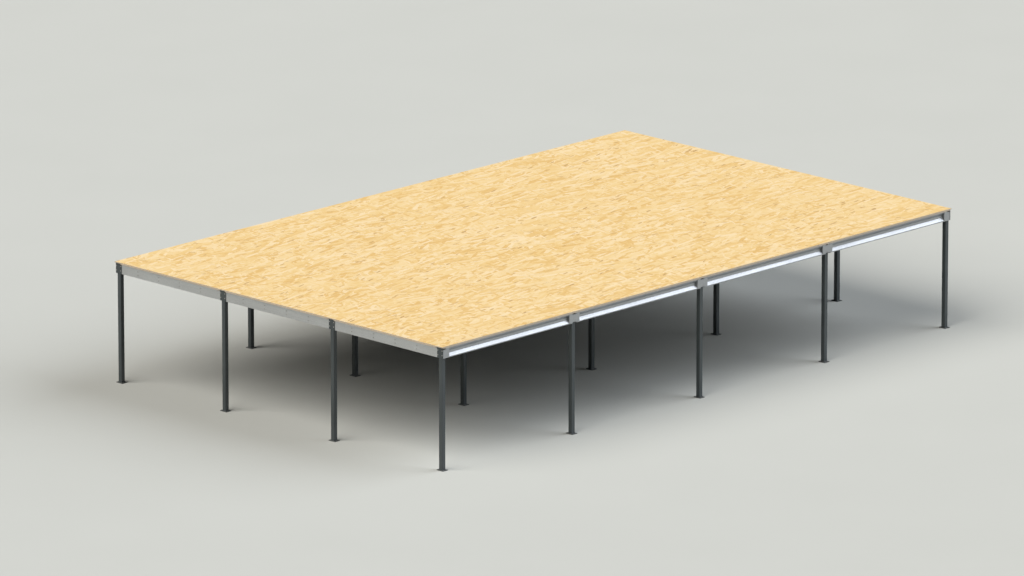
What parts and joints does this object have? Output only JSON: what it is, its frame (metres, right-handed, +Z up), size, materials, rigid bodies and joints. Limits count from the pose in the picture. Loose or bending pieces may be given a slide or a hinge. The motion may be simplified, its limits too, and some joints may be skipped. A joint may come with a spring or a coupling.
{
  "type": "mezzanine platform",
  "caption": "Large raised floor of OSB boards on folded galvanised joists and beams, carried by slim square anthracite posts on flat base plates.",
  "frame": {"origin": "on the floor under the middle of the deck", "axes": "+X along the long side, +Y along the short side, +Z up"},
  "size_m": [14.478, 9.04, 2.468],
  "materials": {
    "post_paint": "satin anthracite powder coat",
    "galvanised_beams": "galvanised strip, cold formed",
    "galvanised_joists": "galvanised strip, cold formed",
    "galvanised_covers": "galvanised plate, matt",
    "galvanised_cleats": "galvanised plate, matt",
    "zinc_fasteners": "zinc plated",
    "deck_board": "oriented strand board, sanded"
  },
  "bodies": {
    "root": {"base_plates_line_1": "post_paint", "base_plates_line_2": "post_paint", "base_plates_line_3": "post_paint", "base_plates_line_4": "post_paint", "base_plates_line_5": "post_paint", "cleat_bolts": "zinc_fasteners", "cover_screws": "zinc_fasteners", "deck_boards_bay_1": "deck_board", "deck_boards_bay_2": "deck_board", "deck_boards_bay_3": "deck_board", "deck_boards_bay_4": "deck_board", "deck_screws": "zinc_fasteners", "edge_joists_back": "galvanised_joists", "edge_joists_front": "galvanised_joists", "end_beams_1": "galvanised_beams", "end_beams_5": "galvanised_beams", "fin_bolts": "zinc_fasteners", "head_plate_bolts": "zinc_fasteners", "head_plates_end_1": "post_paint", "head_plates_end_5": "post_paint", "joint_covers_back": "galvanised_covers", "joint_covers_front": "galvanised_covers", "joist_cleats_line_1": "galvanised_cleats", "joist_cleats_line_2": "galvanised_cleats", "joist_cleats_line_3": "galvanised_cleats", "joist_cleats_line_4": "galvanised_cleats", "joist_cleats_line_5": "galvanised_cleats", "joists_bay_1": "galvanised_joists", "joists_bay_2": "galvanised_joists", "joists_bay_3": "galvanised_joists", "joists_bay_4": "galvanised_joists", "main_beams_line_2": "galvanised_beams", "main_beams_line_3": "galvanised_beams", "main_beams_line_4": "galvanised_beams", "post_1a": "post_paint", "post_1b": "post_paint", "post_1c": "post_paint", "post_1d": "post_paint", "post_2a": "post_paint", "post_2b": "post_paint", "post_2c": "post_paint", "post_2d": "post_paint", "post_3a": "post_paint", "post_3b": "post_paint", "post_3c": "post_paint", "post_3d": "post_paint", "post_4a": "post_paint", "post_4b": "post_paint", "post_4c": "post_paint", "post_4d": "post_paint", "post_5a": "post_paint", "post_5b": "post_paint", "post_5c": "post_paint", "post_5d": "post_paint", "post_caps": "post_paint", "post_fins_line_1": "post_paint", "post_fins_line_2": "post_paint", "post_fins_line_3": "post_paint", "post_fins_line_4": "post_paint", "post_fins_line_5": "post_paint"}
  },
  "joints": []
}
